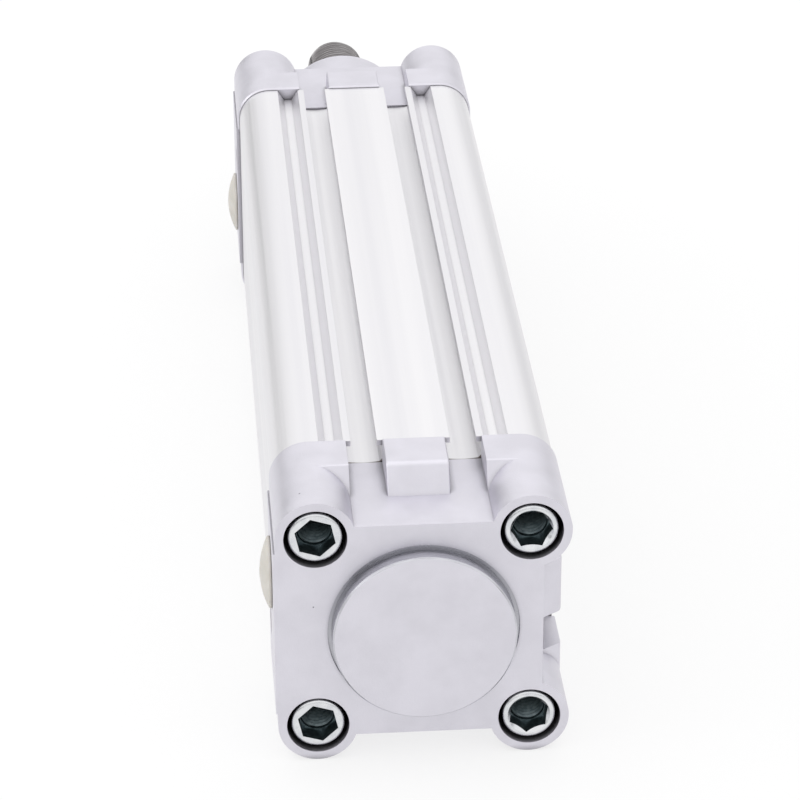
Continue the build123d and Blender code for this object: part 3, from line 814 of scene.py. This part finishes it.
anodised, tree, shader, place = surface("anodised_extrusion", "#EAE9EC", 1.0, 0.42)
die_lines = noise(tree, place, 1400, (0.004, 1, 1), 4)
wide_lines = noise(tree, place, 160, (0.01, 1, 1), 2)
where = add(tree, "SeparateXYZ", links={0: place}).outputs
from_end = between(tree, where["X"], 0.0, 1.0, SHADE_LINE_END * MM, (SHADE_LINE_END + 0.2) * MM)
sideways = add(tree, "Math", {"operation": "ABSOLUTE"}, {0: where["Y"]})
upwards = add(tree, "Math", {"operation": "ABSOLUTE"}, {0: where["Z"]})
outwards = add(tree, "Math", {"operation": "MAXIMUM"}, {0: sideways.outputs[0], 1: upwards.outputs[0]})
above_slots = between(tree, outwards.outputs[0], 0.0, 1.0, SHADE_LINE_TOP * MM, (SHADE_LINE_TOP + 0.3) * MM)
no_painted_shade_line = add(tree, "Math", {"operation": "MAXIMUM"}, {0: from_end, 1: above_slots})
streaks_with_painted_shade_line = add(tree, "Mix", {"data_type": "RGBA"}, {
    0: no_painted_shade_line.outputs[0],
    7: between(tree, wide_lines, "#E7E6E9", "#EEEDEF"),
})
streaks_with_painted_shade_line.inputs[6].default_value = colour("#6E645E")
# Painted shade darkens the barrel's colour in its grooves, slots and corners.
with_painted_crevice_shade(tree, shader, streaks_with_painted_shade_line.outputs[2], 0.0015)
tree.links.new(between(tree, die_lines, 0.38, 0.47), shader.inputs["Roughness"])
grain = noise(tree, place, 5000, detail=2)
both = add(tree, "Math", {"operation": "ADD"}, {0: die_lines, 1: grain})
bump(tree, shader, both.outputs[0], 0.000004)

# %% [markdown]
# The caps are die-cast aluminium with a thin silver-grey coat. The coat is satin and slightly mottled, its
# grain is as fine as the shot blasting under it, and a few specks of workshop dirt sit on it.

# %% Coated casting
casting_coat, tree, shader, place = surface("coated_casting", "#DAD8E0", 0.85, 0.42)
clouds = noise(tree, place, 120, detail=4)
mottled = between(tree, clouds, "#D6D4DC", "#DEDCE4")
cells = add(tree, "TexVoronoi", {"Scale": 170.0}, {"Vector": place})
near = add(tree, "Math", {"operation": "LESS_THAN", 1: 0.035}, {0: cells.outputs["Distance"]})
chosen = add(tree, "SeparateColor", links={0: cells.outputs["Color"]})
few = add(tree, "Math", {"operation": "GREATER_THAN", 1: 0.72}, {0: chosen.outputs[0]})
speck = add(tree, "Math", {"operation": "MULTIPLY"}, {0: near.outputs[0], 1: few.outputs[0]})
dirty = add(tree, "Mix", {"data_type": "RGBA"}, {0: speck.outputs[0], 6: mottled})
dirty.inputs[7].default_value = colour("#77747F")
# Painted shade darkens the coat in corners and crevices, on top of the real specks.
with_painted_crevice_shade(tree, shader, dirty.outputs[2], 0.0025)
tree.links.new(between(tree, clouds, 0.38, 0.46), shader.inputs["Roughness"])
blasted = noise(tree, place, 2600, detail=3)
bump(tree, shader, blasted, 0.00003)

# %% [markdown]
# The round pilots and the screws' counterbores are machined after coating, so they are bare aluminium. The
# tool leaves fine rings and the metal is darker than the coat. Both get painted shade where they lie close
# beside another surface: light on the pilots, nearly black in the counterbores beside the screw heads.

# %% Machined aluminium
def machined_metal(name, dark):
    """Bare aluminium with tool rings, with painted shade of a given colour where it lies close beside
    something.
    """
    material, tree, shader, place = surface(name, "#CBCBD1", 1.0, 0.3)
    rings = noise(tree, place, 4500, (1, 0.05, 0.05), 2)
    with_painted_crevice_shade(tree, shader, between(tree, rings, "#C2C2C8", "#D4D4DA"), 0.002, dark)
    tree.links.new(between(tree, rings, 0.26, 0.36), shader.inputs["Roughness"])
    bump(tree, shader, rings, 0.000003)
    return material


# Painted shade: light grey on the pilots, nearly black in the counterbores.
machined = machined_metal("machined_pilot", "#A6A6AC")
counterbore_metal_with_painted_shade = machined_metal("drilled_counterbore_painted_shade", "#1C1C1C")

# %% [markdown]
# The screws are bright zinc plated steel. The plating hardly reaches the bottom of the hexagon, and the dark
# colour there is partly that thin plating and partly painted shade of the deep socket. The rod is ground and
# hard chromed, and its thread is bare turned steel with painted shade in its roots.

# %% Steels
zinc, tree, shader, place = surface("bright_zinc", "#DCDEE1", 1.0, 0.25)
patches = noise(tree, place, 500, detail=3)
tree.links.new(between(tree, patches, "#D3D5D9", "#E6E7E9"), shader.inputs["Base Color"])
tree.links.new(between(tree, patches, 0.2, 0.34), shader.inputs["Roughness"])
bump(tree, shader, noise(tree, place, 1800), 0.000006)

# Painted shade together with thin plating: the dark metal inside the hexagons and their M8 threads.
socket, tree, shader, place = surface("thin_plated_socket_painted_shade", "#788488", 1.0, 0.4)
patches = noise(tree, place, 900, detail=3)
tree.links.new(between(tree, patches, "#667276", "#8A9699"), shader.inputs["Base Color"])
bump(tree, shader, patches, 0.00001)

chrome, tree, shader, place = surface("hard_chrome", "#D2D4D7", 1.0, 0.14)
ground = noise(tree, place, 3000, (1, 0.02, 0.02), 2)
tree.links.new(between(tree, ground, 0.1, 0.2), shader.inputs["Roughness"])
bump(tree, shader, ground, 0.0000015)

steel, tree, shader, place = surface("turned_steel", "#A09D9E", 1.0, 0.14)
tool_lines = noise(tree, place, 4000, (1, 0.03, 0.03), 2)
# Painted shade, nearly black, in the roots of the rod's thread.
with_painted_crevice_shade(tree, shader, between(tree, tool_lines, "#868283", "#B0ADAE"), 0.0012, "#15110F", 0.5, 1.0)
tree.links.new(between(tree, tool_lines, 0.06, 0.14), shader.inputs["Roughness"])
bump(tree, shader, tool_lines, 0.000002)

# %% [markdown]
# The plugs are moulded polyethylene, cream and waxy: soft shine, a little cloudy, with a fine grain from the
# mould. The rod wiper and lip seals are polyurethane, and the O-rings nitrile rubber.

# %% Plastics and rubbers
cream, tree, shader, place = surface("cream_polyethylene", "#C8C4BC", 0.0, 0.42)
shader.inputs["Subsurface Weight"].default_value = 0.15
shader.inputs["Subsurface Radius"].default_value = (0.004, 0.003, 0.002)
clouds = noise(tree, place, 300, detail=3)
tree.links.new(between(tree, clouds, "#C2BEB5", "#CECAC3"), shader.inputs["Base Color"])
tree.links.new(between(tree, clouds, 0.38, 0.5), shader.inputs["Roughness"])
bump(tree, shader, noise(tree, place, 3500), 0.000005)

urethane, tree, shader, place = surface("seal_polyurethane", "#2B3440", 0.0, 0.4)
clouds = noise(tree, place, 900, detail=3)
tree.links.new(between(tree, clouds, "#252D38", "#333D4A"), shader.inputs["Base Color"])
bump(tree, shader, clouds, 0.000006)

rubber, tree, shader, place = surface("black_ring_rubber", "#161617", 0.0, 0.6)
dust = noise(tree, place, 1500, detail=4)
tree.links.new(between(tree, dust, "#121213", "#222223"), shader.inputs["Base Color"])
bump(tree, shader, dust, 0.000008)

acetal, tree, shader, place = surface("black_acetal", "#1E1E20", 0.0, 0.38)
rings = noise(tree, place, 2500, (1, 0.05, 0.05), 2)
tree.links.new(between(tree, rings, 0.32, 0.46), shader.inputs["Roughness"])
bump(tree, shader, rings, 0.000004)

ferrite, tree, shader, place = surface("bonded_ferrite", "#232325", 0.0, 0.65)
crystals = noise(tree, place, 4000, detail=4)
tree.links.new(between(tree, crystals, "#1A1A1C", "#323236"), shader.inputs["Base Color"])
bump(tree, shader, crystals, 0.00001)

# %% [markdown]
# Inside, the piston halves and cushion sleeves are turned aluminium, the rod's bush is sintered bronze, whose
# pores hold oil, and the cushion screws are turned brass.

# %% Inner metals
aluminium, tree, shader, place = surface("turned_aluminium", "#D9DADC", 1.0, 0.3)
rings = noise(tree, place, 5000, (1, 0.02, 0.02), 2)
tree.links.new(between(tree, rings, 0.24, 0.38), shader.inputs["Roughness"])
bump(tree, shader, rings, 0.000004)

bronze, tree, shader, place = surface("oiled_bearing_bronze", "#A08152", 1.0, 0.5)
pores = noise(tree, place, 4500, detail=4)
tree.links.new(between(tree, pores, "#6E5836", "#B19263"), shader.inputs["Base Color"])
bump(tree, shader, pores, 0.00001)

brass, tree, shader, place = surface("turned_brass", "#C9A65C", 1.0, 0.28)
rings = noise(tree, place, 3500, (0.05, 1, 0.05), 2)
tree.links.new(between(tree, rings, "#B8954E", "#D3B36C"), shader.inputs["Base Color"])
tree.links.new(between(tree, rings, 0.22, 0.36), shader.inputs["Roughness"])
bump(tree, shader, rings, 0.000004)

# %% [markdown]
# ## Who wears what
# Each new piece rides on a body of the CAD model and stands for a node there. The CAD nodes that stay get
# their material on their own slots.

# %% Dress the new pieces
def dressed(piece, body, slot, *materials, stands_for=()):
    """Puts materials on a new piece, makes it ride on a body and hides the nodes that it replaces."""
    for material in materials:
        piece.data.materials.append(material)
    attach(piece, body)
    if stands_for:
        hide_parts(*stands_for)


dressed(barrel, "cylinder", "anodised_aluminium", anodised, stands_for=["barrel"])
for cap, depth, node in ((rear_cap, lambda x: x, "rear_cap"), (front_cap, lambda x: BODY - x, "front_cap")):
    dressed(cap, "cylinder", "cast_aluminium", casting_coat, machined, counterbore_metal_with_painted_shade, stands_for=[node])
    for face in cap.data.polygons:
        rim = [cap.data.vertices[index].co / MM for index in face.vertices]
        on_end = abs(face.normal.x) > 0.9 and depth(rim[0].x) < -3
        on_pilot = not on_end and all(depth(p.x) < 0.75 and 19.5 < math.hypot(p.y, p.z) < 21 for p in rim)
        in_counterbore = all(0.1 < depth(p.x) < SCREW_SEAT + 1 and from_screw_axis(p) < 7 for p in rim)
        # The counterbore faces get the metal whose crevices are painted nearly black with shade.
        face.material_index = 1 if on_pilot else 2 if in_counterbore else 0
for end, depth in (("rear", lambda x: x), ("front", lambda x: BODY - x)):
    dressed(screws[end], "cylinder", "zinc_plated_steel", zinc, socket, stands_for=[f"{end}_cap_screws"])
    for face in screws[end].data.polygons:
        middle = face.center / MM
        in_socket = HEAD_TOP + 0.6 < depth(middle.x) < SCREW_SEAT - 1 and from_screw_axis(middle) < 4.75
        # Faces inside the hexagon get the dark metal of thin plating and painted shade.
        face.material_index = int(in_socket)
    dressed(screw_threads[end], "cylinder", "zinc_plated_steel", socket)
    dressed(plugs[end], f"{end}_plug", "cream_plastic", cream, stands_for=[f"{end}_port_plug"])
    dressed(port_threads[end], "cylinder", "cast_aluminium", casting_coat)
dressed(rod, "rod", "chromed_steel", chrome, steel, stands_for=["piston_rod"])
for face in rod.data.polygons:
    face.material_index = int(face.center.x > (SHOULDER - 0.05) * MM)
dressed(rod_thread, "rod", "chromed_steel", steel)
print("new pieces dressed")

# %% Dress the CAD nodes that stay
inner = {
    "rear_cap_o_ring": rubber, "front_cap_o_ring": rubber, "piston_o_ring": rubber,
    "rear_cushion_screw_o_ring": rubber, "front_cushion_screw_o_ring": rubber,
    "rear_cushion_seal": urethane, "front_cushion_seal": urethane, "rod_seal": urethane,
    "rod_wiper": urethane, "rear_piston_seal": urethane, "front_piston_seal": urethane,
    "piston_guide_ring": acetal, "piston_magnet": ferrite, "rod_bush": bronze,
    "piston_rear_half": aluminium, "piston_front_half": aluminium,
    "rear_cushion_sleeve": aluminium, "front_cushion_sleeve": aluminium,
    "piston_lock_nut": zinc, "rear_cushion_screw": brass, "front_cushion_screw": brass,
}
for name, material in inner.items():
    for place_on_node in nodes[name].material_slots:
        place_on_node.material = material
    print(name, "->", material.name)

# %% [markdown]
# ## Floor and light
# The object lies on a plain white floor. For the camera and for mirror-like metal, most of the floor's white
# is its own, so the background stays white while a soft shadow still shows.

# %% Floor
bpy.ops.mesh.primitive_plane_add(size=8, location=(0.15, 0, -0.0321))
floor = bpy.context.object
floor.name = "floor"
white = bpy.data.materials.new("white_floor")
white.use_nodes = True
tree = white.node_tree
tree.nodes.clear()
path = add(tree, "LightPath")
by_eye, by_mirror = path.outputs["Is Camera Ray"], path.outputs["Is Glossy Ray"]
through_glass = path.outputs["Is Transmission Ray"]
seen = add(tree, "Math", {"operation": "MAXIMUM"}, {0: by_eye, 1: by_mirror})
seen = add(tree, "Math", {"operation": "MAXIMUM"}, {0: seen.outputs[0], 1: through_glass})
share = add(tree, "Math", {"operation": "MULTIPLY", 1: 0.75}, {0: seen.outputs[0]})
matt = add(tree, "BsdfDiffuse", {"Color": colour("#F4F4F4")})
own = add(tree, "Emission", {"Color": (1, 1, 1, 1), "Strength": 1.0})
mix = add(tree, "MixShader", links={0: share.outputs[0], 1: matt.outputs[0], 2: own.outputs[0]})
add(tree, "OutputMaterial", links={"Surface": mix.outputs[0]})
floor.data.materials.append(white)

# %% [markdown]
# The light is a white studio: bright above, a darker band over the horizon, most of all on the left, and two
# large soft lamps. The band is what draws the grey lines down the sides of the round bosses.

# %% Studio light
bpy.context.scene.view_settings.view_transform = "Standard"
world = bpy.data.worlds.new("studio")
bpy.context.scene.world = world
world.use_nodes = True
tree = world.node_tree
direction = add(tree, "TexCoord")
parts = add(tree, "SeparateXYZ", links={0: direction.outputs["Generated"]})
height = parts.outputs["Z"]
left = between(tree, height, 0.15, 0.97, 0.1, 0.31)
right = between(tree, height, 0.42, 0.97, 0.06, 0.28)
to_the_left = between(tree, parts.outputs["Y"], 0.0, 1.0, -0.2, 0.3)
sides = add(tree, "Mix", {"data_type": "FLOAT"}, {0: to_the_left, 2: right, 3: left})
lower_sky = between(tree, height, 0.06, 0.0, 0.42, 0.56)
level = add(tree, "Math", {"operation": "ADD"}, {0: sides.outputs[0], 1: lower_sky})
background = tree.nodes["Background"]
tree.links.new(level.outputs[0], background.inputs["Color"])
background.inputs["Strength"].default_value = 1.1


def soft_lamp(name, place, target, width, height, watts):
    """A rectangular lamp that faces a point."""
    lamp = bpy.data.lights.new(name, "AREA")
    lamp.shape = "RECTANGLE"
    lamp.size = width
    lamp.size_y = height
    lamp.energy = watts
    holder = bpy.data.objects.new(name, lamp)
    bpy.context.scene.collection.objects.link(holder)
    holder.location = place
    facing = Vector(target) - Vector(place)
    holder.rotation_euler = facing.to_track_quat("-Z", "Y").to_euler()


soft_lamp("overhead", (0.25, 0.05, 1.1), (0.13, 0, 0), 1.2, 0.9, 1.2)
soft_lamp("left", (0.1, 1.0, 0.5), (0.13, 0, 0), 1.0, 0.7, 2.0)

# %% [markdown]
# ## Sizes of the CAD model
# The dressed model must stay inside the CAD model's box, so the boxes of the CAD barrel and caps are printed.

# %% Sizes
for node_name in ("barrel", "rear_cap", "front_cap"):
    low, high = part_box(node_name)
    print(node_name, [round(v / MM, 1) for v in (*low, *high)])
